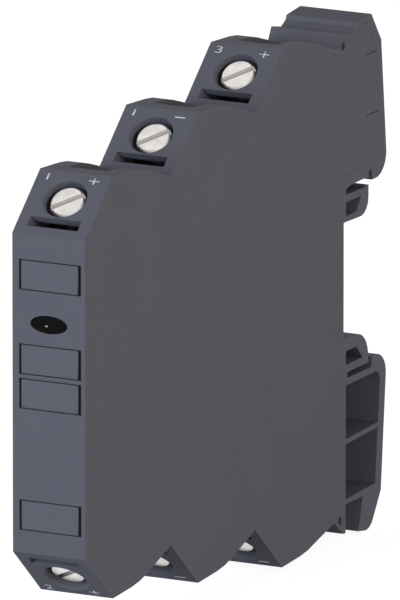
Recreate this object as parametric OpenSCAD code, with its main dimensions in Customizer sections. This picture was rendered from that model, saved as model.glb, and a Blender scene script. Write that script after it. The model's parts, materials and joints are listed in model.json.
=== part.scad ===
// Slim signal isolator for a 35 mm mounting rail.
// Frame: X across the width, Y from the front to the rail, Z up.
// The origin is the middle of the rail seat. The front face looks along -Y.

/* [Housing] */
// Width of the module along the rail
body_w = 14; // [13:0.5:17]
// Height over the rear pair of terminal tiers
body_h = 93; // [91:0.5:97]
// Thickness of the moulded walls
wall = 1.6; // [1.4:0.1:1.8]
// Thickness of the front wall behind the marking plates
front_t = 2.2; // [2:0.1:2.8]
// Thickness of the side cover
cover_t = 1.4; // [1.2:0.1:1.6]
// Gap between the side cover and the shell beside it
cover_gap = 0.05; // [0.03:0.01:0.1]
// Thickness of the shell rim round the side cover
rim_t = 1; // [0.9:0.05:1.1]
// Diameter of the pegs on the side cover
peg_d = 2; // [1.8:0.1:2.2]
// Length of the pegs on the side cover
peg_len = 4; // [3:0.5:5]

/* [Terminal tiers] */
// Distance from one tier to the next, front to rear
tier_pitch = 32.2; // [31.8:0.1:33.4]
// Rise from one tier to the next
tier_rise = 4.6; // [4.3:0.1:4.8]
// Depth of a sloping terminal face
face_run = 10.4; // [10.1:0.1:10.7]
// Height of a sloping terminal face
face_rise = 9.1; // [8.8:0.1:9.3]
// Depth of the land behind the face
ridge_run = 10; // [9.6:0.1:10.4]
// Fall of the land behind the face
ridge_fall = 0.6; // [0.5:0.1:0.8]
// Softness of the ridge behind the land
ridge_soft = 2.9; // [2:0.1:3.2]

/* [Terminal openings] */
// Distance of the screw axis up the face from its middle
screw_up = 1.4; // [1.3:0.05:1.5]
// Width of the broken edge of the bore over the screw
mouth_d = 8.3; // [8.2:0.05:8.4]
// Depth of the broken edge of the bore over the screw
mouth_depth = 0.3; // [0.25:0.05:0.4]
// Diameter of the screw access bore
access_d = 7.8; // [7.7:0.05:7.9]
// Thickness of the collar under the screw head
collar_t = 0.6; // [0.5:0.1:0.7]
// Width of the jumper slot
slot_w = 9.8; // [9.4:0.1:10]
// Height of the jumper slot
slot_h = 2.1; // [1.9:0.1:2.2]
// Distance of the jumper slot down the face from its middle
slot_down = 4.1; // [4:0.05:4.3]
// Thickness of the face wall between the jumper slot and the bore
slot_lip = 1.5; // [1.4:0.1:1.6]
// Diameter of the wire channel
wire_d = 5; // [4.8:0.1:5.2]
// Diameter of the wire funnel at its mouth
funnel_d = 9.6; // [9.2:0.1:9.8]
// Length of the wire funnel
funnel_len = 8; // [7.5:0.1:8.4]
// Width of the wire trough in the land
trough_w = 7.8; // [7.4:0.1:8.2]
// Distance of the wire trough behind the sloping face
trough_back = 4.1; // [3.9:0.1:4.4]
// Depth of the wire trough
trough_depth = 2.6; // [2.2:0.1:2.8]

/* [Terminal clamps] */
// Diameter of the screw head
head_d = 6.3; // [6.1:0.05:6.5]
// Height of the screw head
head_h = 1.6; // [1.5:0.05:1.65]
// Depth of the screw head below the sloping face
head_sink = 1; // [0.9:0.05:1.2]
// Width of the screwdriver slot
drive_w = 1; // [0.8:0.1:1.2]
// Depth of the screwdriver slot
drive_depth = 0.8; // [0.7:0.05:0.9]
// Direction of the screwdriver slot on the face
drive_turn = 35; // [0:5:90]
// Thread diameter of the screw
thread_d = 4; // [3.8:0.1:4.1]
// Running gap between the thread and the cage
thread_gap = 0.05; // [0.03:0.01:0.08]
// Width of the clamp cage
cage_w = 6.8; // [6.6:0.1:7]
// Length of the clamp cage along the wire
cage_len = 6.4; // [6:0.1:6.6]
// Thickness of the threaded plate of the cage
nut_t = 1.5; // [1.4:0.05:1.6]
// Thickness of the cage sides and jaw
cage_t = 0.9; // [0.8:0.05:1]
// Free height for the wire with the clamp open
wire_room = 2.5; // [2.4:0.05:2.6]
// Travel of the cage from open to closed
cage_travel = 2.1; // [1.9:0.05:2.15]
// Thickness of the contact bar
bar_t = 0.9; // [0.8:0.05:1]
// Width of the contact bar
bar_w = 4.4; // [4:0.1:4.6]
// Clearance round the cage in its chamber
cage_gap = 0.4; // [0.3:0.05:0.5]

/* [Rail seat] */
// Height of the mounting rail
rail_h = 35; // [35:0.1:35.4]
// Gap for the rail flange behind the pads
flange_gap = 1.3; // [1.2:0.05:1.5]
// Distance that the hook and the foot reach past the flange edge
rail_grip = 1.5; // [1.2:0.1:1.7]
// Free height past each flange edge
flange_free = 0.4; // [0.3:0.05:0.5]
// Depth of the rail pads behind the rear wall
pad_depth = 9.7; // [9.4:0.1:10]
// Height of the rear gap between the two pads
pad_span = 21; // [20.6:0.1:21.4]
// Depth of the hook and the foot behind the rail seat
rear_reach = 7; // [6.8:0.1:7.2]
// Lean of the rear edge of the hook
hook_lean = 2.1; // [1.8:0.1:2.4]
// Radius of the rounded hook and foot tips
tip_r = 4.1; // [3.8:0.1:4.3]
// Distance of the foot below the rear tier
foot_drop = 0.7; // [0.5:0.1:1]
// Thickness of the ribs in the foot
rib_t = 0.9; // [0.8:0.1:1.1]

/* [Front face] */
// Height of a marking plate
plate_h = 5; // [4.8:0.1:5.2]
// Thickness of a marking plate
plate_t = 0.9; // [0.8:0.05:1]
// Groove beside a marking plate
plate_gap = 0.35; // [0.3:0.05:0.4]
// Shoulder left and right of the marking plates
plate_edge = 1.15; // [1.1:0.05:1.3]
// Height of the highest marking plate above the middle
plate_z1 = 21; // [20.6:0.1:21.4]
// Height of the second marking plate
plate_z2 = 6.1; // [6:0.05:6.4]
// Height of the third marking plate
plate_z3 = 0; // [-0.4:0.05:0.1]
// Height of the lowest marking plate
plate_z4 = -21.5; // [-21.8:0.1:-20.8]
// Height of the oval window above the middle
lamp_z = 12.6; // [12.2:0.1:13]
// Width of the oval window
lamp_w = 7.2; // [6.8:0.1:7.6]
// Height of the oval window
lamp_h = 3.2; // [3:0.1:3.4]

/* [Electronics] */
// Thickness of the circuit board
board_t = 1.6; // [1.4:0.1:1.7]
// Diameter of the stem of the light guide
stem_d = 2.6; // [2.4:0.1:2.8]
// Gap between the board and the stem of the light guide
stem_gap = 0.3; // [0.2:0.05:0.4]
// Diameter of the pins that locate the board
pin_d = 2; // [1.8:0.1:2.2]
// Running gap round pins and pegs
pin_gap = 0.05; // [0.03:0.01:0.08]
// Gap between the tallest parts and the side cover
lid_gap = 0.8; // [0.6:0.1:1]
// Depth of the transformer core, front to rear
core_run = 15; // [14:0.5:16]
// Height of the transformer core
core_rise = 13; // [12:0.5:14]
// Thickness of the yokes of the core
yoke_t = 2.4; // [2.2:0.1:2.6]
// Width of the middle leg of the core
core_leg = 4; // [3.8:0.1:4.2]
// Width of each window of the core
core_window = 4; // [3.8:0.1:4.2]
// Gap between the coil and the core
coil_gap = 0.1; // [0.08:0.02:0.2]
// Height of the coil over the core
coil_over = 0.6; // [0.5:0.1:0.8]
// Depth of the isolator chip, front to rear
iso_run = 7.6; // [7:0.2:8]
// Height of the isolator chip
iso_rise = 10.4; // [10:0.2:11]
// Thickness of the isolator chip
iso_t = 2.4; // [2.2:0.1:2.6]
// Depth of the output chip, front to rear
out_run = 4; // [3.6:0.2:4.4]
// Height of the output chip
out_rise = 5; // [4.6:0.2:5.4]
// Thickness of the output chip
out_t = 1.6; // [1.4:0.1:1.8]
// Length of the filter capacitor
cap_len = 9; // [8:0.5:10]

/* [Hidden] */
$fn = 48;
TIERS = 3;
eps = 0.01;

// Stations from the front face to the rear
root_d = TIERS * tier_pitch;
back_d = root_d + 2.1;
seat_d = back_d + pad_depth;
lip_d = seat_d + flange_gap;
rear_d = seat_d + rear_reach;

// Heights
front_z = body_h / 2 - face_rise - (TIERS - 1) * tier_rise;
root_z = front_z + TIERS * tier_rise;
hook_z = body_h / 2 - 0.5;
foot_z = body_h / 2 + foot_drop;
rail_z = rail_h / 2;
grip_z = rail_z - rail_grip;
slot_z = rail_z + flange_free;
pad_in = pad_span / 2;
pad_out = rail_z - 0.7;
pad_t = pad_out - pad_in;
low_r = 0.78 * pad_t;
top_r = 0.476 * pad_t;

// Planes across the width
side_x = body_w / 2;
cover_x = side_x - cover_t;
room_x = -side_x + wall;
face_x = -stem_d / 2 - stem_gap;
board_x = face_x - board_t;

// Terminal levels, down from the sloping face
face_a = atan2(face_rise, face_run);
under_head = head_sink + head_h;
shelf = under_head + 0.1;
chamber_top = shelf + collar_t;
cage_top = chamber_top + 0.1 + cage_travel;
bar_top = cage_top + nut_t + 0.1;
bar_low = bar_top + bar_t;
jaw_top = bar_low + wire_room;
cage_low = jaw_top + cage_t;
wire_level = bar_low + wire_room / 2;
chamber_low = cage_low + 0.3;
block_low = chamber_low + 1.4;
cage_y = cage_len / 2;
chamber_y = cage_y + cage_gap;
leg_out = slot_down + slot_h / 2 + 0.6;
leg_end = block_low + 5.4;
funnel_end = 18;

// Points on the outline, as depth from the front and height
function unit(v) = v / norm(v);
function low(list) = [for (p = list) [p[0], -p[1]]];
function back_to_front(list) = [for (i = [len(list) - 1:-1:0]) list[i]];
function arc(c, r, from, to, n) =
  [for (i = [0:n])
    let (a = from + (to - from) * i / n)
    c + r * [cos(a), sin(a)]];
function tier_foot(k) = [k * tier_pitch, front_z + k * tier_rise];
function tier_top(k) = tier_foot(k) + [face_run, face_rise];
function tier_line(k) =
  let (t = tier_top(k))
  let (r = t + [ridge_run, -ridge_fall])
  let (a = r + unit(t - r) * ridge_soft)
  let (b = r + unit(tier_foot(k + 1) - r) * ridge_soft)
  [tier_foot(k), t, a, (a + 2 * r + b) / 4, b];
function face_mid(k) = (tier_foot(k) + tier_top(k)) / 2;
function meet(p, u, q, v) =
  let (den = u[0] * v[1] - u[1] * v[0])
  abs(den) < 0.001 ? q : p + u * (((q - p)[0] * v[1] - (q - p)[1] * v[0]) / den);
function inset(pts, t) =
  let (n = len(pts))
  [for (i = [0:n - 1])
    let (b = pts[i])
    let (u = unit(b - pts[(i + n - 1) % n]))
    let (v = unit(pts[(i + 1) % n] - b))
    meet(b + t * [-u[1], u[0]], u, b + t * [-v[1], v[0]], v)];

tier_side = [for (k = [0:TIERS - 1]) each tier_line(k)];
top_root = [root_d, root_z];
low_root = [root_d - 1.4, -root_z - 1.1];

// Crown of the hook, front to rear
crown = [
  [root_d + 1.5, hook_z - 1.4],
  [root_d + 5.3, hook_z - 2.2],
  [root_d + 7, hook_z - 1.3],
  [root_d + 7.4, hook_z - 0.5]];
hook_corner = [rear_d - hook_lean - 3.9, hook_z];
hook_shoulder = [rear_d - hook_lean, hook_z - 5.4];

// Rear of the foot, bottom to top
foot_line = concat(
  [[back_d - 0.2, -foot_z + 1.4], [back_d + 0.7, -foot_z + 1.3]],
  arc([rear_d - 7.8, -foot_z + 3.4], 3.4, -90, -38, 6),
  [[rear_d - 1.9, -foot_z + 6.1]],
  arc([rear_d - tip_r, -grip_z - tip_r], tip_r, 0, 90, 8),
  [[lip_d, -grip_z], [lip_d, -slot_z], [back_d + 1.5, -slot_z], [back_d + 1.5, -pad_out]]);
low_pad = concat(
  [[seat_d, -pad_out]],
  arc([seat_d - low_r, -pad_in - low_r - 0.2], low_r, 0, 90, 8),
  [[back_d, -pad_in]]);
top_pad = concat(
  [[back_d, pad_in]],
  arc([seat_d - top_r, pad_in + top_r - 0.2], top_r, -90, 0, 6),
  [[seat_d, pad_out - 0.22 * pad_t], [back_d + pad_depth / 3, pad_out]]);
hook_line = concat(
  [[seat_d - 2.6, pad_out - 0.1], [seat_d, pad_out - 0.1], [seat_d, slot_z], [lip_d, slot_z], [lip_d, grip_z]],
  arc([rear_d - tip_r, grip_z + tip_r], tip_r, -90, 0, 8),
  [hook_shoulder, hook_corner]);
shell_line = concat(low(tier_side), [low_root], foot_line, low_pad, top_pad, hook_line,
  back_to_front(crown), [top_root], back_to_front(tier_side));

// Outline of the side cover: let into the rim of the shell, drawn further in at the hook
cover_edge = concat(
  low(tier_side),
  [[root_d - 3.4, -root_z - 1.6], [root_d - 1.2, 1 - root_z], [back_d, 1.6 - root_z], [back_d, slot_z]],
  [[rear_d - tip_r, slot_z]],
  [[rear_d - 1.2, grip_z + tip_r], hook_shoulder - [1, 0.8], hook_corner - [0, 2], hook_corner - [1.2, 0]],
  back_to_front(crown),
  [top_root],
  back_to_front(tier_side));
cover_line = inset(cover_edge, rim_t);
peep_d = 1.4;
tab_slit = 0.14;
tab_low = 0.4 * hook_z + 9.6;
tab_high = tab_low + 11;
room_line = concat(low(tier_side), [[root_d, -root_z], top_root], back_to_front(tier_side));

// Solid between two planes across the width
module slab(pts, x0, x1) {
  rotate([90, 0, 90])
    translate([0, 0, x0])
      linear_extrude(x1 - x0)
        polygon(pts);
}

module box(x, y, z) {
  translate([x[0], y[0], z[0]])
    cube([x[1] - x[0], y[1] - y[0], z[1] - z[0]]);
}

// Shared frame: front-face depths move to the rail seat
module at_rail() {
  translate([0, -seat_d, 0])
    children();
}

// Local frame of one terminal: Y up the slope, Z out of the face
module at_terminal(n) {
  k = (n - 1) % TIERS;
  mirror([0, 0, n > TIERS ? 1 : 0])
    translate([0, face_mid(k)[0], face_mid(k)[1]])
      rotate([face_a, 0, 0])
        children();
}

module each_terminal() {
  for (n = [1:2 * TIERS])
    at_terminal(n)
      children();
}

module rod(d, x0, x1) {
  translate([x0, 0, 0])
    rotate([0, 90, 0])
      cylinder(h = x1 - x0, d = d);
}

// Plastic that stays round one clamp
module terminal_block() {
  box([room_x - 1, cover_x + 1], [-leg_out - 1, 8], [-block_low, 1]);
  box([room_x - 1, cover_x + 1], [7, 21], [-wire_level - 6.2, 1]);
}

// Hollows of one terminal
module terminal_cuts() {
  translate([0, screw_up, 0]) {
    translate([0, 0, -mouth_depth])
      cylinder(h = mouth_depth + eps, d1 = access_d, d2 = mouth_d);
    translate([0, 0, -shelf])
      cylinder(h = shelf, d = access_d);
    translate([0, 0, -chamber_top - 1])
      cylinder(h = chamber_top, d = thread_d + 0.6);
    box([-cage_w / 2 - cage_gap, cover_x + 1], [-chamber_y, chamber_y], [-chamber_low, -chamber_top]);
  }
  box([-slot_w / 2, slot_w / 2], [-slot_down - slot_h / 2, -slot_down + slot_h / 2], [-bar_top, 1]);
  box([-slot_w / 2, slot_w / 2], [-slot_down - slot_h / 2, screw_up - chamber_y + 0.2], [-bar_top, -slot_lip]);
  box([-bar_w / 2 - 0.3, cover_x + 1], [-leg_out - 0.3, screw_up], [-bar_low - 0.1, -bar_top]);
  box([face_x - 0.3, cover_x + 1], [-leg_out - 0.3, -leg_out + bar_t + 0.3], [-block_low - 1, -bar_top]);
  translate([0, screw_up + chamber_y - 0.2, -wire_level])
    rotate([-90, 0, 0])
      cylinder(h = funnel_end - screw_up - chamber_y - funnel_len + 0.4, d = wire_d);
  translate([0, funnel_end - funnel_len, -wire_level])
    rotate([-90, 0, 0])
      cylinder(h = funnel_len, d1 = wire_d + 0.4, d2 = funnel_d);
  translate([0, funnel_end - eps, -wire_level])
    rotate([-90, 0, 0])
      cylinder(h = 6, d = funnel_d);
}

// Troughs in the lands, where the wires go in
module wire_troughs() {
  for (k = [0:TIERS - 1])
    let (t = tier_top(k))
      for (s = [0, 1])
        mirror([0, 0, s])
          slab([t + [trough_back, -trough_depth], t + [ridge_run + 8, -trough_depth], t + [ridge_run + 8, 2],
            t + [trough_back, 2]], -trough_w / 2, trough_w / 2);
}

// Pegs stand between the clamp chamber and the trough, under the shelf of the bore
module at_peg() {
  translate([0, screw_up + chamber_y + peg_d / 2 + 0.7, -shelf - peg_d / 2 - 0.1])
    children();
}

module at_post() {
  for (p = [[22, 11], [back_d - 9, 20]])
    for (s = [-1, 1])
      translate([0, p[0], s * p[1]])
        children();
}

// Small round holes at the roots of the hook and the foot
module at_peep() {
  for (p = [[root_d + 1.7, root_z + 0.4], [root_d + 0.8, -root_z - 1.2]])
    translate([0, p[0], p[1]])
      children();
}

module oval(w, h) {
  polygon([for (i = [0:39]) [w / 2 * cos(9 * i), h / 2 * sin(9 * i)]]);
}

// Solid that grows from the front face towards the rear
module front_plug(depth0, depth1) {
  translate([0, depth1, lamp_z])
    rotate([90, 0, 0])
      linear_extrude(depth1 - depth0)
        children();
}

module plate_at(z, gap, y0, y1) {
  half_w = side_x - plate_edge + gap - plate_gap;
  half_h = plate_h / 2 + gap * 0.6;
  box([-half_w, half_w], [y0, y1], [z - half_h, z + half_h]);
}

module foot_pockets() {
  left = -side_x + wall;
  p0 = back_d + 0.9;
  shelf_z = -slot_z - 1.2;
  mid_z = shelf_z - 9.8;
  toe_z = mid_z - rib_t - 10;
  slab(concat([[p0, shelf_z], [p0, mid_z], [rear_d - 3.1, mid_z + 0.4]],
    arc([rear_d - 4.4, shelf_z - 2], 2, 0, 90, 6)), left, side_x + 1);
  slab([[p0, mid_z - rib_t], [p0, toe_z], [rear_d - 4.2, toe_z + 0.4], [rear_d - 3.2, mid_z - rib_t + 0.4]],
    left, side_x + 1);
  slab([[p0, toe_z - rib_t], [p0, -foot_z - 1], [p0 + 4.6, -foot_z - 1], [p0 + 6.8, toe_z - rib_t]],
    left, side_x + 1);
  slab([[p0, pad_in + 0.16 * pad_t], [seat_d - low_r, pad_in + 0.16 * pad_t],
    [seat_d - 0.57 * low_r, pad_in + 0.556 * pad_t], [p0, pad_in + 0.556 * pad_t]], left, side_x + 1);
  slab([[p0, pad_in + 0.778 * pad_t], [seat_d - 1.4, pad_in + 0.746 * pad_t], [seat_d - 1.4, pad_out + 0.05],
    [back_d + pad_depth / 3, pad_out], [p0, pad_out - 0.06 * pad_t]], left, side_x + 1);
  slab([[p0, -pad_in - 0.381 * pad_t], [p0, -pad_in - low_r], [seat_d - 0.45 * low_r, -pad_in - low_r],
    [seat_d - 0.94 * low_r, -pad_in - 0.381 * pad_t]], left, side_x + 1);
}

module housing_shell() color("#5f626d") at_rail() {
  difference() {
    slab(shell_line, -side_x, side_x);
    slab(inset(cover_line, -cover_gap), cover_x, side_x + 1);
    difference() {
      slab(inset(room_line, wall), room_x, cover_x + eps);
      each_terminal() terminal_block();
      box([-side_x, side_x], [-1, front_t], [-body_h, body_h]);
    }
    slab([[back_d + 1.2, slot_z + 2.6], [rear_d - 5.6, slot_z + 2.6], [rear_d - 6.6, hook_z - 8],
      [back_d + 1.2, hook_z - 5.2]], room_x, cover_x + eps);
    each_terminal() terminal_cuts();
    wire_troughs();
    each_terminal() at_peg() rod(peg_d + 2 * pin_gap, cover_x - peg_len - 0.3, cover_x + 1);
    foot_pockets();
    front_plug(-1, front_t + 1) oval(lamp_w, lamp_h);
    for (z = [plate_z1, plate_z2, plate_z3, plate_z4])
      plate_at(z, plate_gap, -1, plate_t + 0.05);
    at_peep() rod(peep_d, cover_x - 3, side_x + 1);
  }
  at_post() rod(2.4 * pin_d, room_x - eps, board_x);
  at_post() rod(pin_d, board_x - eps, face_x + 0.6);
}

module side_cover() color("#545357") at_rail() {
  difference() {
    slab(cover_line, cover_x, side_x);
    for (z = [tab_low, tab_high])
      box([cover_x - 1, side_x + 1], [rear_d - 8, rear_d + 1], [z - tab_slit / 2, z + tab_slit / 2]);
    at_peep() rod(peep_d, cover_x - 1, side_x + 1);
  }
  each_terminal() at_peg() rod(peg_d, cover_x - peg_len, cover_x + eps);
}

module terminal_screw(n) color("#d8d4d0") at_rail() {
  at_terminal(n)
    translate([0, screw_up, 0])
      difference() {
        union() {
          translate([0, 0, -under_head])
            cylinder(h = head_h - 0.25, d = head_d);
          translate([0, 0, -head_sink - 0.25])
            cylinder(h = 0.25, d1 = head_d, d2 = head_d - 0.6);
          translate([0, 0, -bar_top + 0.05])
            cylinder(h = bar_top - under_head, d = thread_d);
        }
        rotate([0, 0, n > TIERS ? -drive_turn : drive_turn])
          box([-head_d, head_d], [-drive_w / 2, drive_w / 2], [-head_sink - drive_depth, 1]);
      }
}

module clamp_cage(n) color("#b9b4ae") at_rail() {
  at_terminal(n)
    translate([0, screw_up, 0])
      difference() {
        box([-cage_w / 2, cage_w / 2], [-cage_y, cage_y], [-cage_low, -cage_top]);
        box([-cage_w / 2 + cage_t, cage_w / 2 - cage_t], [-cage_len, cage_len], [-jaw_top, -cage_top - nut_t]);
        translate([0, 0, -cage_top - nut_t - 1])
          cylinder(h = nut_t + 2, d = thread_d + 2 * thread_gap);
      }
}

module contact_bar(n) color("#b8794a") at_rail() {
  at_terminal(n) {
    box([-bar_w / 2, bar_w / 2], [-leg_out, screw_up + cage_y], [-bar_low, -bar_top]);
    box([face_x, bar_w / 2], [-leg_out, -leg_out + bar_t], [-leg_end, -bar_top]);
  }
}

// Edge of the board under one tier
board_edge = front_z + face_rise / 2 - (leg_out + 1) * sin(face_a) - block_low * cos(face_a) - 0.7;

module circuit_board() color("#2f6b45") at_rail() {
  half = [for (k = [0:TIERS - 1]) each [
    [k == 0 ? front_t + 4 : k * tier_pitch + 3.5, board_edge + k * tier_rise],
    [k == TIERS - 1 ? root_d - 3.2 : (k + 1) * tier_pitch + 3.5, board_edge + k * tier_rise]]];
  difference() {
    slab(concat(low(half), back_to_front(half)), board_x, face_x);
    at_post() rod(pin_d + 2 * pin_gap, board_x - 1, face_x + 1);
  }
}

// Places of the parts on the board, as depth from the front and height
core_at = [1.8 * tier_pitch, 0.1 * front_z];
iso_at = [1.05 * tier_pitch, 0];
out_at = [1.335 * tier_pitch, -0.355 * front_z];
cap_at = [2.3 * tier_pitch, -0.284 * front_z];

// Room over the board
room_h = cover_x - face_x - lid_gap;
core_h = room_h - coil_over;
cap_d = room_h - 0.1;

module on_board(at) {
  translate([face_x, at[0], at[1]])
    children();
}

module block(h, run, rise) {
  box([0, h], [-run / 2, run / 2], [-rise / 2, rise / 2]);
}

module transformer_core() color("#3a3a3c") at_rail() {
  on_board(core_at)
    difference() {
      block(core_h, core_run, core_rise);
      for (s = [-1, 1])
        translate([-1, s * (core_leg + core_window) / 2, 0])
          block(core_h + 2, core_window, core_rise - 2 * yoke_t);
    }
}

module transformer_coil() color("#c98b4f") at_rail() {
  on_board(core_at)
    difference() {
      block(room_h, core_leg + 2 * core_window - 6 * coil_gap, core_rise - 2 * yoke_t - 4 * coil_gap);
      translate([-1, 0, 0])
        block(core_h + 1 + coil_gap, core_leg + 2 * coil_gap, core_rise);
    }
}

module isolator_chip() color("#1f2022") at_rail() {
  on_board(iso_at) block(iso_t, iso_run, iso_rise);
}

module output_chip() color("#1f2022") at_rail() {
  on_board(out_at) block(out_t, out_run, out_rise);
}

module filter_capacitor() color("#2b3a5a") at_rail() {
  on_board(cap_at)
    translate([cap_d / 2, 0, 0])
      rotate([-90, 0, 0])
        cylinder(h = cap_len, d = cap_d);
}

module status_led() color("#d9d9d2") at_rail() {
  box([face_x, face_x + 3], [front_t + 4.6, front_t + 7.4], [lamp_z - 1.5, lamp_z + 1.5]);
}

module light_guide() color("#17181a") at_rail() {
  front_plug(0.15, front_t) oval(lamp_w - 0.1, lamp_h - 0.1);
  front_plug(front_t - eps, front_t + 4.5) circle(d = stem_d);
}

module marking_plate(z) color("#5f626d") at_rail() {
  plate_at(z, 0, 0.05, plate_t + 0.05);
}

housing_shell();
side_cover();
circuit_board();
transformer_core();
transformer_coil();
isolator_chip();
output_chip();
filter_capacitor();
status_led();
light_guide();
marking_plate(plate_z1);  // marking_plate_1
marking_plate(plate_z2);  // marking_plate_2
marking_plate(plate_z3);  // marking_plate_3
marking_plate(plate_z4);  // marking_plate_4
contact_bar(1);  // contact_bar_1
contact_bar(2);  // contact_bar_2
contact_bar(3);  // contact_bar_3
contact_bar(4);  // contact_bar_4
contact_bar(5);  // contact_bar_5
contact_bar(6);  // contact_bar_6
clamp_cage(1);  // clamp_cage_1
clamp_cage(2);  // clamp_cage_2
clamp_cage(3);  // clamp_cage_3
clamp_cage(4);  // clamp_cage_4
clamp_cage(5);  // clamp_cage_5
clamp_cage(6);  // clamp_cage_6
terminal_screw(1);  // terminal_screw_1
terminal_screw(2);  // terminal_screw_2
terminal_screw(3);  // terminal_screw_3
terminal_screw(4);  // terminal_screw_4
terminal_screw(5);  // terminal_screw_5
terminal_screw(6);  // terminal_screw_6
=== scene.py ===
import json
import math

import bmesh
import bpy
from mathutils import Matrix, Vector


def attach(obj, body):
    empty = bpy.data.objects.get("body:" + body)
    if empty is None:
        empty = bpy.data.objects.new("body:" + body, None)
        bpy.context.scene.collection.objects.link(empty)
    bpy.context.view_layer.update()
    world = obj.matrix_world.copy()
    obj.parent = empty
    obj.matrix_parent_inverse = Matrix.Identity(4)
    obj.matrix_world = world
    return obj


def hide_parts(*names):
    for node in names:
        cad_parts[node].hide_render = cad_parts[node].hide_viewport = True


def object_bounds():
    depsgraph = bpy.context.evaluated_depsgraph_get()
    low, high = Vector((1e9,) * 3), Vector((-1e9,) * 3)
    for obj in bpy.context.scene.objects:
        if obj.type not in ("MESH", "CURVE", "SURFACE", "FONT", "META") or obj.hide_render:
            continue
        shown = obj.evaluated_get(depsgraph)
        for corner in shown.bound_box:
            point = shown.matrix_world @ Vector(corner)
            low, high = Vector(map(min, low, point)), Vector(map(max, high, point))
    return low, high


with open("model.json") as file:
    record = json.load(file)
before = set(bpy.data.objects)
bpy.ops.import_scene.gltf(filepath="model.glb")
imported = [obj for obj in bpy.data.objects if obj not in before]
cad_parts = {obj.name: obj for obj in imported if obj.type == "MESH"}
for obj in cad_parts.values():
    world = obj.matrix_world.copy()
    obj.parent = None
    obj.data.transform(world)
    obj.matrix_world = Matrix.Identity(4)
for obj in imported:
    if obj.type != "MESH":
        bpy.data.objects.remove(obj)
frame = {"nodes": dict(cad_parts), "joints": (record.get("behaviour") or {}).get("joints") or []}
cad_box = [list(corner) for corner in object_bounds()]

MM = 0.001
nodes = frame["nodes"]

# Half the width of the module, and the level of the floor just under its foot
SIDE = cad_box[1][0]
FLOOR = cad_box[0][2] - 0.3 * MM

# Points nearer to a plane than this lie in it
IN_PLANE = 0.01 * MM

# There are as many screws as cages and bars, three above and three below
TERMINALS = range(1, 7)
UPPER = range(1, 4)

# Radius of a screw's head and width of its rim, in millimetres as the head's maps are
HEAD_RADIUS, HEAD_RIM = 3.15, 0.12

# The bands of a Wave texture are this far apart at a scale of 1
WAVE = 2 * math.pi / 20

# A Mix node's sockets for colour go by number, because those for numbers share their names
FACTOR, FIRST, SECOND, MIXED = 0, 6, 7, 2


# Materials

def linear(code):
    """An sRGB hex colour as the linear colour that a shader takes."""
    parts = [int(code[i:i + 2], 16) / 255 for i in (0, 2, 4)]
    return [c / 12.92 if c <= 0.04045 else ((c + 0.055) / 1.055) ** 2.4 for c in parts] + [1.0]


def add(tree, kind, sockets=None, **settings):
    """Adds one node; a socket is given a value, or the output that feeds it."""
    node = tree.nodes.new(kind)
    for name, value in settings.items():
        setattr(node, name, value)
    for socket, value in (sockets or {}).items():
        if isinstance(value, bpy.types.NodeSocket):
            tree.links.new(value, node.inputs[socket])
        else:
            node.inputs[socket].default_value = value
    return node


def blank(name):
    """A material with an empty node tree."""
    material = bpy.data.materials.new(name)
    material.use_nodes = True
    material.node_tree.nodes.clear()
    return material, material.node_tree


def moulded_polyamide(name, tone, clouded, roughness):
    """Glass-filled polyamide from a spark-eroded mould: an even dull grey, with a fine grain that
    softens every highlight and faint clouds where the melt flowed."""
    material, tree = blank(name)
    place = add(tree, "ShaderNodeTexCoord").outputs["Object"]
    # flow clouds about 9 mm across
    clouds = add(tree, "ShaderNodeTexNoise", {
        "Vector": place, "Scale": 1 / (9 * MM), "Detail": 3.0})
    # the mould's grain is about 0.1 mm, drawn at 0.4 mm so that it shows
    grain = add(tree, "ShaderNodeTexNoise", {
        "Vector": place, "Scale": 1 / (0.4 * MM), "Detail": 2.0})
    colour = add(tree, "ShaderNodeMix", {
        FACTOR: clouds.outputs["Fac"], FIRST: linear(tone), SECOND: linear(clouded)},
        data_type="RGBA")
    rough = add(tree, "ShaderNodeMapRange", {
        "Value": grain.outputs["Fac"], "From Min": 0.3, "From Max": 0.7,
        "To Min": roughness - 0.06, "To Max": roughness + 0.06})
    bump = add(tree, "ShaderNodeBump", {
        "Height": grain.outputs["Fac"], "Strength": 0.25, "Distance": 0.03 * MM})
    shader = add(tree, "ShaderNodeBsdfPrincipled", {
        "Base Color": colour.outputs[MIXED], "Roughness": rough.outputs["Result"],
        "Normal": bump.outputs["Normal"], "IOR": 1.53, "Specular IOR Level": 0.03})
    add(tree, "ShaderNodeOutputMaterial", {"Surface": shader.outputs["BSDF"]})
    return material


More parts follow.
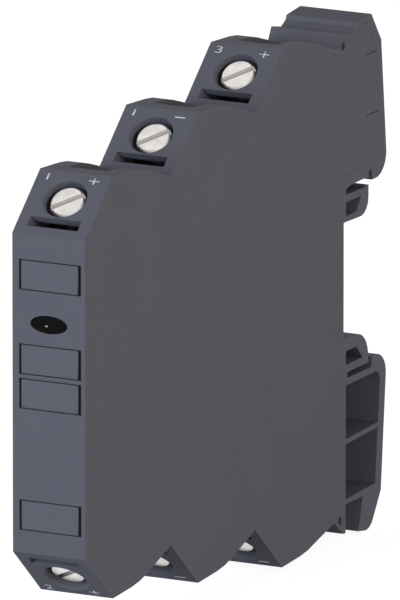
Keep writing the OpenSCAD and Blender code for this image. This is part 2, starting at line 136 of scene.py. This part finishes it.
def turned_nickel():
    """Nickel-plated steel screw, turned on a lathe: bright and a little warm, with fine rings round
    the head's axis, patches of finger marks and painted reflection on the head, and a slot
    painted with a highlight on its walls and shade on its floor. The head's own maps carry the
    rings and the slot."""
    material, tree = blank("nickel_plated_turned_steel")
    place = add(tree, "ShaderNodeTexCoord").outputs["Object"]
    plan = add(tree, "ShaderNodeUVMap", uv_map="head_plan").outputs["UV"]
    sunk = add(tree, "ShaderNodeUVMap", uv_map="head_depth").outputs["UV"]
    reach = add(tree, "ShaderNodeVectorMath", {0: plan}, operation="LENGTH").outputs["Value"]
    depth = add(tree, "ShaderNodeSeparateXYZ", {"Vector": sunk}).outputs["X"]
    # tool marks every 0.1 mm, drawn every 0.45 mm so that they show
    rings = add(tree, "ShaderNodeMath", {0: reach, 1: 2 * math.pi / 0.45}, operation="MULTIPLY")
    wave = add(tree, "ShaderNodeMath", {0: rings.outputs["Value"]}, operation="SINE")
    # patches about 1.6 mm across: finger marks, and painted reflection
    smudge_and_reflection = add(tree, "ShaderNodeTexNoise", {
        "Vector": place, "Scale": 1 / (1.6 * MM), "Detail": 4.0})
    rough = add(tree, "ShaderNodeMapRange", {
        "Value": smudge_and_reflection.outputs["Fac"], "From Min": 0.3, "From Max": 0.7,
        "To Min": 0.26, "To Max": 0.38})
    # the head's tone varies in these patches: partly finger marks, partly painted reflection
    colour = add(tree, "ShaderNodeMix", {
        FACTOR: smudge_and_reflection.outputs["Fac"], FIRST: linear("f6f3f0"), SECOND: linear("c8c4c0")},
        data_type="RGBA")
    # the slot, like the shank under it, lies lower than the face and nearer the axis than the rim
    below = add(tree, "ShaderNodeMapRange", {"Value": depth, "From Min": 0.02, "From Max": 0.1})
    within = add(tree, "ShaderNodeMath", {
        0: reach, 1: HEAD_RADIUS - HEAD_RIM}, operation="LESS_THAN")
    slot = add(tree, "ShaderNodeMath", {
        0: below.outputs["Result"], 1: within.outputs["Value"]}, operation="MULTIPLY")
    # its walls are painted pale, a painted highlight, and its floor, 0.8 mm down, painted darker, a
    # painted shade
    slot_floor_shade = add(tree, "ShaderNodeMapRange", {"Value": depth, "From Min": 0.6, "From Max": 0.8})
    slot_painted_light = add(tree, "ShaderNodeMix", {
        FACTOR: slot_floor_shade.outputs["Result"], FIRST: linear("fbf9f7"), SECOND: linear("c6c2be")},
        data_type="RGBA")
    # the slot takes its painted highlight and painted shade, and the rest of the head its plating
    plating_and_painted_light = add(tree, "ShaderNodeMix", {
        FACTOR: slot.outputs["Value"], FIRST: colour.outputs[MIXED], SECOND: slot_painted_light.outputs[MIXED]},
        data_type="RGBA")
    bump = add(tree, "ShaderNodeBump", {
        "Height": wave.outputs["Value"], "Strength": 0.12, "Distance": 0.02 * MM})
    shader = add(tree, "ShaderNodeBsdfPrincipled", {
        "Base Color": plating_and_painted_light.outputs[MIXED], "Roughness": rough.outputs["Result"],
        "Normal": bump.outputs["Normal"], "Metallic": 1.0})
    add(tree, "ShaderNodeOutputMaterial", {"Surface": shader.outputs["BSDF"]})
    return material


def stamped_metal(name, bright, dull, roughness, streak):
    """Sheet metal, stamped and bent: rolling streaks run along it and the plate is patchy."""
    material, tree = blank(name)
    place = add(tree, "ShaderNodeTexCoord").outputs["Object"]
    drawn = add(tree, "ShaderNodeMapping", {"Vector": place, "Scale": (1.0, 0.08, 0.08)})
    # rolling streaks 0.3 mm apart, and patches of the plate about 2.5 mm across
    streaks = add(tree, "ShaderNodeTexNoise", {
        "Vector": drawn.outputs["Vector"], "Scale": 1 / (0.3 * MM), "Detail": 2.0})
    patches = add(tree, "ShaderNodeTexNoise", {
        "Vector": place, "Scale": 1 / (2.5 * MM), "Detail": 3.0})
    colour = add(tree, "ShaderNodeMix", {
        FACTOR: patches.outputs["Fac"], FIRST: linear(bright), SECOND: linear(dull)},
        data_type="RGBA")
    rough = add(tree, "ShaderNodeMapRange", {
        "Value": patches.outputs["Fac"], "To Min": roughness - 0.1, "To Max": roughness + 0.1})
    bump = add(tree, "ShaderNodeBump", {
        "Height": streaks.outputs["Fac"], "Strength": streak, "Distance": 0.02 * MM})
    shader = add(tree, "ShaderNodeBsdfPrincipled", {
        "Base Color": colour.outputs[MIXED], "Roughness": rough.outputs["Result"],
        "Normal": bump.outputs["Normal"], "Metallic": 1.0})
    add(tree, "ShaderNodeOutputMaterial", {"Surface": shader.outputs["BSDF"]})
    return material


def smooth_plastic(name, tone, clouded, roughness):
    """A small smooth piece, moulded or printed: nearly one colour, with a fine unevenness in its
    gloss."""
    material, tree = blank(name)
    place = add(tree, "ShaderNodeTexCoord").outputs["Object"]
    # unevenness about 0.8 mm across
    uneven = add(tree, "ShaderNodeTexNoise", {
        "Vector": place, "Scale": 1 / (0.8 * MM), "Detail": 3.0})
    colour = add(tree, "ShaderNodeMix", {
        FACTOR: uneven.outputs["Fac"], FIRST: linear(tone), SECOND: linear(clouded)},
        data_type="RGBA")
    rough = add(tree, "ShaderNodeMapRange", {
        "Value": uneven.outputs["Fac"], "To Min": roughness - 0.05, "To Max": roughness + 0.05})
    shader = add(tree, "ShaderNodeBsdfPrincipled", {
        "Base Color": colour.outputs[MIXED], "Roughness": rough.outputs["Result"], "IOR": 1.5})
    add(tree, "ShaderNodeOutputMaterial", {"Surface": shader.outputs["BSDF"]})
    return material


def smoked_window():
    """Smoked polycarbonate, polished: nearly black, with one painted highlight, a pale point a
    little left of its middle."""
    material, tree = blank("smoked_polycarbonate")
    place = add(tree, "ShaderNodeTexCoord").outputs["Object"]
    middle = sum((Vector(c) for c in nodes["light_guide"].bound_box), Vector()) / 8
    highlight_middle = middle + Vector((-0.5, 0, -0.3)) * MM
    off = add(tree, "ShaderNodeVectorMath", {0: place, 1: highlight_middle}, operation="SUBTRACT")
    # the painted highlight is wider than it is high
    seen = add(tree, "ShaderNodeVectorMath", {
        0: off.outputs["Vector"], 1: (0.9, 0, 1.6)}, operation="MULTIPLY")
    reach = add(tree, "ShaderNodeVectorMath", {0: seen.outputs["Vector"]}, operation="LENGTH")
    # it is about 0.25 mm in radius, with a soft edge
    point = add(tree, "ShaderNodeMapRange", {
        "Value": reach.outputs["Value"], "From Min": 0.08 * MM, "From Max": 0.25 * MM,
        "To Min": 1.0, "To Max": 0.0})
    # unevenness about 0.8 mm across
    uneven = add(tree, "ShaderNodeTexNoise", {
        "Vector": place, "Scale": 1 / (0.8 * MM), "Detail": 3.0})
    dark = add(tree, "ShaderNodeMix", {
        FACTOR: uneven.outputs["Fac"], FIRST: linear("0b0b0a"), SECOND: linear("100f0e")},
        data_type="RGBA")
    # the painted highlight: a pale point painted on the dark window
    colour = add(tree, "ShaderNodeMix", {
        FACTOR: point.outputs["Result"], FIRST: dark.outputs[MIXED], SECOND: linear("d0d0cc")},
        data_type="RGBA")
    shader = add(tree, "ShaderNodeBsdfPrincipled", {
        "Base Color": colour.outputs[MIXED], "Roughness": 0.2, "IOR": 1.58,
        "Specular IOR Level": 0.03})
    add(tree, "ShaderNodeOutputMaterial", {"Surface": shader.outputs["BSDF"]})
    return material


def board_laminate():
    """Glass-fibre laminate under green solder mask: the weave shows through as a faint check."""
    material, tree = blank("glass_fibre_laminate_with_solder_mask")
    place = add(tree, "ShaderNodeTexCoord").outputs["Object"]
    # yarns 0.5 mm apart, one set each way
    yarn = {"Vector": place, "Scale": WAVE / (0.5 * MM)}
    up = add(tree, "ShaderNodeTexWave", yarn, bands_direction="Z")
    along = add(tree, "ShaderNodeTexWave", yarn, bands_direction="Y")
    weave = add(tree, "ShaderNodeMath", {
        0: up.outputs["Fac"], 1: along.outputs["Fac"]}, operation="MULTIPLY")
    colour = add(tree, "ShaderNodeMix", {
        FACTOR: weave.outputs["Value"], FIRST: linear("245a38"), SECOND: linear("357a4c")},
        data_type="RGBA")
    bump = add(tree, "ShaderNodeBump", {
        "Height": weave.outputs["Value"], "Strength": 0.2, "Distance": 0.02 * MM})
    shader = add(tree, "ShaderNodeBsdfPrincipled", {
        "Base Color": colour.outputs[MIXED], "Roughness": 0.35,
        "Normal": bump.outputs["Normal"], "IOR": 1.55})
    add(tree, "ShaderNodeOutputMaterial", {"Surface": shader.outputs["BSDF"]})
    return material


def wound_wire():
    """Enamelled copper wire wound in layers: close ridges across the winding, amber and glossy."""
    material, tree = blank("enamelled_copper_winding")
    place = add(tree, "ShaderNodeTexCoord").outputs["Object"]
    # wire 0.3 mm thick
    turns = add(tree, "ShaderNodeTexWave", {
        "Vector": place, "Scale": WAVE / (0.3 * MM), "Distortion": 0.4},
        bands_direction="Z", wave_profile="SIN")
    colour = add(tree, "ShaderNodeMix", {
        FACTOR: turns.outputs["Fac"], FIRST: linear("7d4a22"), SECOND: linear("cc8c50")},
        data_type="RGBA")
    bump = add(tree, "ShaderNodeBump", {
        "Height": turns.outputs["Fac"], "Strength": 0.8, "Distance": 0.1 * MM})
    shader = add(tree, "ShaderNodeBsdfPrincipled", {
        "Base Color": colour.outputs[MIXED], "Roughness": 0.3,
        "Normal": bump.outputs["Normal"], "IOR": 1.55, "Metallic": 0.4})
    add(tree, "ShaderNodeOutputMaterial", {"Surface": shader.outputs["BSDF"]})
    return material


SHELL = moulded_polyamide("grained_polyamide_shell", "55575f", "595b63", 0.62)
# the cover forms the side and is a touch darker and less blue than the shell: painted shade
SHADED_COVER = moulded_polyamide("grained_polyamide_cover_painted_shade", "54565d", "585a61", 0.62)
PLATE = moulded_polyamide("smooth_polyamide_plate", "575961", "5a5c64", 0.5)
NICKEL = turned_nickel()
ZINC = stamped_metal("zinc_plated_stamped_steel", "a5a29d", "858280", 0.45, 0.2)
COPPER = stamped_metal("bare_copper_alloy_strip", "c48757", "9c6238", 0.35, 0.25)
SMOKED = smoked_window()
GLOW = smooth_plastic("clear_epoxy_lamp", "d8d8d2", "c6c6c0", 0.2)
INK = smooth_plastic("white_printing_ink", "d2d3d6", "c2c3c7", 0.5)
CHIP = smooth_plastic("black_epoxy_package", "1d1e20", "242527", 0.5)
SLEEVE = smooth_plastic("blue_shrink_sleeve", "26344f", "2e3f61", 0.3)
FERRITE = smooth_plastic("sintered_ferrite", "333335", "434346", 0.6)
LAMINATE = board_laminate()
WINDING = wound_wire()


# Pieces

def merged(node):
    """A merged copy of a CAD node, with its flat faces whole again and its corners marked sharp."""
    touching, flat, gentle = 0.002 * MM, math.radians(0.5), math.radians(18)
    bm = bmesh.new()
    bm.from_mesh(nodes[node].data)
    bmesh.ops.remove_doubles(bm, verts=bm.verts, dist=touching)
    bmesh.ops.dissolve_limit(bm, angle_limit=flat, verts=bm.verts, edges=bm.edges)
    for edge in bm.edges:
        edge.smooth = edge.calc_face_angle(0) < gentle
    return bm


def stands_out(edge, least=25):
    """True where an edge stands out by at least this many degrees."""
    return len(edge.link_faces) == 2 and edge.calc_face_angle_signed(0) > math.radians(least)


def front_edges(bm):
    """The edges round a piece's front face."""
    front = min(v.co.y for v in bm.verts)
    return [e for e in bm.edges if all(v.co.y < front + IN_PLANE for v in e.verts)]


def ease(bm, edges, width, segments=3):
    """Rounds these edges over."""
    bmesh.ops.bevel(bm, geom=edges, offset=width, offset_type="OFFSET", affect="EDGES",
                    segments=segments, profile=0.5, material=-1, clamp_overlap=True,
                    loop_slide=True)


def show(bm, name, body, material, slot, *stands_for):
    """Makes a piece of a bmesh: smooth where it bends gently, and its large faces flat."""
    mesh = bpy.data.meshes.new(name)
    bm.to_mesh(mesh)
    bm.free()
    mesh.polygons.foreach_set("use_smooth", [True] * len(mesh.polygons))
    mesh.materials.append(material)
    piece = bpy.data.objects.new(name, mesh)
    bpy.context.scene.collection.objects.link(piece)
    flat = piece.modifiers.new("flat_faces", "WEIGHTED_NORMAL")
    flat.keep_sharp = True
    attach(piece, body)
    if stands_for:
        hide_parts(*stands_for)


def widen_pockets(bm):
    """Sets the walls of the plates' pockets so that the line beside each plate is widest on its
    right."""
    half_width, depth = 5.85 * MM, 1.0 * MM
    right_wall, left_wall = 0.42 * MM, 0.08 * MM
    front = min(v.co.y for v in bm.verts)
    for vert in bm.verts:
        if vert.co.y < front + depth and abs(abs(vert.co.x) - half_width) < IN_PLANE:
            vert.co.x += right_wall if vert.co.x > 0 else left_wall


def press_home(bm):
    """Closes the cover's seam round the tiers, where the two mouldings meet with no line to be
    seen. The seam at the hook, in the rear part of the cover, stays open."""
    rear_part, thickness, gap = 18 * MM, 1.4 * MM, 0.045 * MM
    ahead = max(v.co.y for v in bm.verts) - rear_part
    # the rim's faces stand square to the side
    rim = [f for f in bm.faces
           if abs(f.normal.x) < 0.01 and f.calc_center_median().x > SIDE - thickness
           and all(v.co.y < ahead for v in f.verts)]
    outward = {}
    for face in rim:
        for vert in face.verts:
            outward.setdefault(vert, []).append(face.normal.copy())
    for vert, normals in outward.items():
        way = sum(normals, Vector()).normalized()
        # a corner goes further, up to twice as far, so that both its faces move out by the gap
        vert.co += way * (gap / max(0.5, way.dot(normals[0])))


def housing():
    """Shell and cover, with the small radii that a mould leaves on the shell's outer edges."""
    mould_radius, shortest, nearly_across = 0.22 * MM, 0.3 * MM, 13 * MM
    bm = merged("housing_shell")
    widen_pockets(bm)
    outer = []
    for edge in bm.edges:
        ends = [v.co for v in edge.verts]
        on_side = all(abs(abs(p.x) - SIDE) < IN_PLANE for p in ends)
        across = abs(ends[0].x - ends[1].x) > nearly_across
        if stands_out(edge) and edge.calc_length() > shortest and (on_side or across):
            outer.append(edge)
    ease(bm, outer, mould_radius)
    show(bm, "shell_moulding", "housing", SHELL, "shell_plastic", "housing_shell")

    bm = merged("side_cover")
    press_home(bm)
    show(bm, "cover_moulding", "housing", SHADED_COVER, "cover_plastic", "side_cover")


def plates():
    """Marking plates, resting low in their pockets, with their front edges broken."""
    aside, taller, lower, broken = 0.08 * MM, 0.04 * MM, 0.06 * MM, 0.2 * MM
    for n in range(1, 5):
        bm = merged(f"marking_plate_{n}")
        middle = sum(v.co.z for v in bm.verts) / len(bm.verts)
        for vert in bm.verts:
            vert.co.x += aside
            vert.co.z += math.copysign(taller, vert.co.z - middle) - lower
        ease(bm, front_edges(bm), broken)
        show(bm, f"marking_field_{n}", "housing", PLATE, "plate_plastic", f"marking_plate_{n}")


def window():
    """Smoked lamp window, with its front edge polished round."""
    polished = 0.25 * MM
    bm = merged("light_guide")
    ease(bm, front_edges(bm), polished, 4)
    show(bm, "lamp_window", "housing", SMOKED, "lens_plastic", "light_guide")


def terminal(n):
    """Where screw n turns: its joint's point on the sloping face, and the face's own axes."""
    joint = next(j for j in frame["joints"] if j["name"] == f"screw_{n}_turn")
    out = -Vector(joint["axis"]).normalized()
    across = Vector((1, 0, 0))
    up = out.cross(across)
    turn = Matrix((across, up, out)).transposed().to_4x4()
    return Matrix.Translation(Vector(joint["pos_m"])) @ turn


def screws():
    """Slotted terminal screws: broken edges, and maps of the head's plan and depth, in
    millimetres, for its turned rings and the painted highlight and shade in its slot."""
    broken, shortest = 0.05 * MM, 0.02 * MM
    for n in TERMINALS:
        bm = merged(f"terminal_screw_{n}")
        edges = [e for e in bm.edges if stands_out(e, 20) and e.calc_length() > shortest]
        ease(bm, edges, broken, 2)
        plan = bm.loops.layers.uv.new("head_plan")
        depth = bm.loops.layers.uv.new("head_depth")
        home = terminal(n).inverted()
        top = max((home @ v.co).z for v in bm.verts)
        for face in bm.faces:
            for loop in face.loops:
                spot = home @ loop.vert.co
                loop[plan].uv = (spot.x / MM, spot.y / MM)
                loop[depth].uv = ((top - spot.z) / MM, 0)
        show(bm, f"slotted_screw_{n}", f"screw_{n}", NICKEL, "plated_steel",
             f"terminal_screw_{n}")


def mark(sign, name, n, x, wide, high):
    """One printed sign on terminal n's face, wide by high and x from the middle, in millimetres."""
    row, thick, sunk = 4.1 * MM, 0.03 * MM, 0.01 * MM
    # in parts of the letter's size: points that meet, some thickness, and strokes made thinner
    touching, raised, thinner = 1e-4, 0.01, 0.018
    letter = bpy.data.curves.new(name, "FONT")
    letter.body = sign
    letter.align_x = "CENTER"
    letter.extrude = raised
    letter.offset = -thinner
    typed = bpy.data.objects.new(name, letter)
    bpy.context.scene.collection.objects.link(typed)
    bpy.context.view_layer.update()
    drawn = bpy.data.meshes.new_from_object(
        typed.evaluated_get(bpy.context.evaluated_depsgraph_get()))
    bpy.data.objects.remove(typed)
    bm = bmesh.new()
    bm.from_mesh(drawn)
    bpy.data.meshes.remove(drawn)
    bmesh.ops.remove_doubles(bm, verts=bm.verts, dist=touching)
    low = [min(v.co[i] for v in bm.verts) for i in range(3)]
    top = [max(v.co[i] for v in bm.verts) for i in range(3)]
    to_middle = [-(a + b) / 2 for a, b in zip(low[:2], top[:2])] + [-low[2]]
    to_size = [size / (b - a) for size, a, b in zip((wide * MM, high * MM, thick), low, top)]
    bmesh.ops.translate(bm, vec=to_middle, verts=bm.verts)
    bmesh.ops.scale(bm, vec=to_size, verts=bm.verts)
    behind = Matrix.Translation((x * MM, row if n in UPPER else -row, -sunk))
    bmesh.ops.transform(bm, matrix=terminal(n) @ behind, verts=bm.verts)
    show(bm, name, "housing", INK, "shell_plastic")


def marks():
    """Plain pair numbers and polarity signs by each terminal, in millimetres."""
    left, right, tall, stroke = -4.9, 4.0, 1.4, 0.22
    one_wide, number_wide, sign_wide = 0.3, 1.3, 2.0
    for n, pair, sign in ((1, "1", "+"), (2, "1", "-"), (3, "3", "+"),
                          (4, "2", "+"), (5, "2", "-"), (6, "3", "-")):
        mark(pair, f"pair_number_{n}", n, left, one_wide if pair == "1" else number_wide, tall)
        mark(sign, f"polarity_{n}", n, right, sign_wide, tall if sign == "+" else stroke)


def inside():
    """Parts behind the walls keep their CAD shape and take their own finish."""
    finish = {"circuit_board": LAMINATE, "transformer_core": FERRITE, "transformer_coil": WINDING,
              "isolator_chip": CHIP, "output_chip": CHIP, "filter_capacitor": SLEEVE,
              "status_led": GLOW}
    for n in TERMINALS:
        finish[f"contact_bar_{n}"] = COPPER
        finish[f"clamp_cage_{n}"] = ZINC
    for node, material in finish.items():
        nodes[node].data.materials.clear()
        nodes[node].data.materials.append(material)


# Studio

def in_sight(tree):
    """1 for rays that show a thing, straight or by way of metal or glass, and 0 for the others."""
    path = add(tree, "ShaderNodeLightPath").outputs
    seen = add(tree, "ShaderNodeMath", {
        0: path["Is Camera Ray"], 1: path["Is Glossy Ray"]}, operation="MAXIMUM")
    seen = add(tree, "ShaderNodeMath", {
        0: seen.outputs["Value"], 1: path["Is Transmission Ray"]}, operation="MAXIMUM")
    return seen.outputs["Value"]


def pale_floor():
    """A pale floor, 5 m square: it looks white with a faint shadow, and throws back light as grey
    paper does."""
    half_size = 2.5
    material, tree = blank("pale_floor")
    seen = in_sight(tree)
    plain = add(tree, "ShaderNodeBsdfDiffuse", {"Color": (0.55, 0.55, 0.55, 1)})
    shade = add(tree, "ShaderNodeBsdfDiffuse", {"Color": (0.2, 0.2, 0.2, 1)})
    white = add(tree, "ShaderNodeEmission", {"Color": (1, 1, 1, 1), "Strength": 0.92})
    shown = add(tree, "ShaderNodeAddShader", {
        0: shade.outputs["BSDF"], 1: white.outputs["Emission"]})
    both = add(tree, "ShaderNodeMixShader", {
        0: seen, 1: plain.outputs["BSDF"], 2: shown.outputs["Shader"]})
    add(tree, "ShaderNodeOutputMaterial", {"Surface": both.outputs["Shader"]})

    bm = bmesh.new()
    bmesh.ops.create_grid(bm, x_segments=1, y_segments=1, size=half_size)
    bmesh.ops.translate(bm, vec=(0, 0, FLOOR), verts=bm.verts)
    mesh = bpy.data.meshes.new("floor")
    bm.to_mesh(mesh)
    bm.free()
    mesh.materials.append(material)
    floor = bpy.data.objects.new("floor", mesh)
    bpy.context.scene.collection.objects.link(floor)


def white_surround():
    """A surround that looks white, also in metal, and gives a weaker, warmer fill light."""
    world = bpy.data.worlds.new("studio")
    world.use_nodes = True
    tree = world.node_tree
    tree.nodes.clear()
    seen = in_sight(tree)
    fill = add(tree, "ShaderNodeBackground", {"Color": (1, 0.94, 0.88, 1), "Strength": 0.32})
    white = add(tree, "ShaderNodeBackground", {"Color": (1, 1, 1, 1), "Strength": 1.0})
    both = add(tree, "ShaderNodeMixShader", {
        0: seen, 1: fill.outputs["Background"], 2: white.outputs["Background"]})
    add(tree, "ShaderNodeOutputWorld", {"Surface": both.outputs["Shader"]})
    bpy.context.scene.world = world


def soft_lamps():
    """Four round soft lamps, all 1.5 m from the middle of the part and turned towards it."""
    middle, away = Vector((0, -0.05, 0)), 1.5
    # name, direction, width in metres, power in watts and tint
    for name, towards, width, power, tint in (
            ("cool_key", (-0.38, -0.90, 0.17), 1.2, 21.2, (0.93, 0.99, 1.14)),
            ("warm_side", (0.88, -0.36, 0.18), 0.8, 12.1, (1.12, 1.0, 0.98)),
            ("left_side", (-1.0, 0.05, 0.10), 1.2, 7.0, (1.0, 1.0, 1.0)),
            ("rear_fill", (0.05, 1.0, -0.02), 1.2, 17.0, (1.0, 1.0, 1.0))):
        lamp = bpy.data.lights.new(name, "AREA")
        lamp.shape = "DISK"
        lamp.size = width
        lamp.energy = power
        lamp.color = tint
        stand = bpy.data.objects.new(name, lamp)
        # bare metal mirrors the white surround and not the lamps, as it would in a light tent
        stand.visible_glossy = False
        stand.location = middle + Vector(towards).normalized() * away
        stand.rotation_euler = (middle - stand.location).to_track_quat("-Z", "Y").to_euler()
        bpy.context.scene.collection.objects.link(stand)


def far_camera():
    """The photograph has no perspective, so the camera stands far off behind a long lens."""
    aim = Vector((6.84, -64.84, 8.42)) * MM
    azimuth, elevation = math.radians(27.09), math.radians(13.58)
    # the height that the picture takes in at the aim
    view_height = 103.88 * MM
    away = Vector((math.sin(azimuth) * math.cos(elevation),
                   -math.cos(azimuth) * math.cos(elevation), math.sin(elevation)))
    lens = bpy.data.cameras.new("view")
    lens.sensor_width = 36
    lens.lens = 1150
    camera = bpy.data.objects.new("view", lens)
    camera.location = aim + away * (view_height * lens.lens / lens.sensor_width)
    camera.rotation_euler = (-away).to_track_quat("-Z", "Y").to_euler()
    bpy.context.scene.collection.objects.link(camera)
    bpy.context.scene.camera = camera


housing()
plates()
window()
screws()
marks()
inside()
pale_floor()
white_surround()
soft_lamps()
far_camera()
bpy.context.scene.view_settings.view_transform = "Standard"
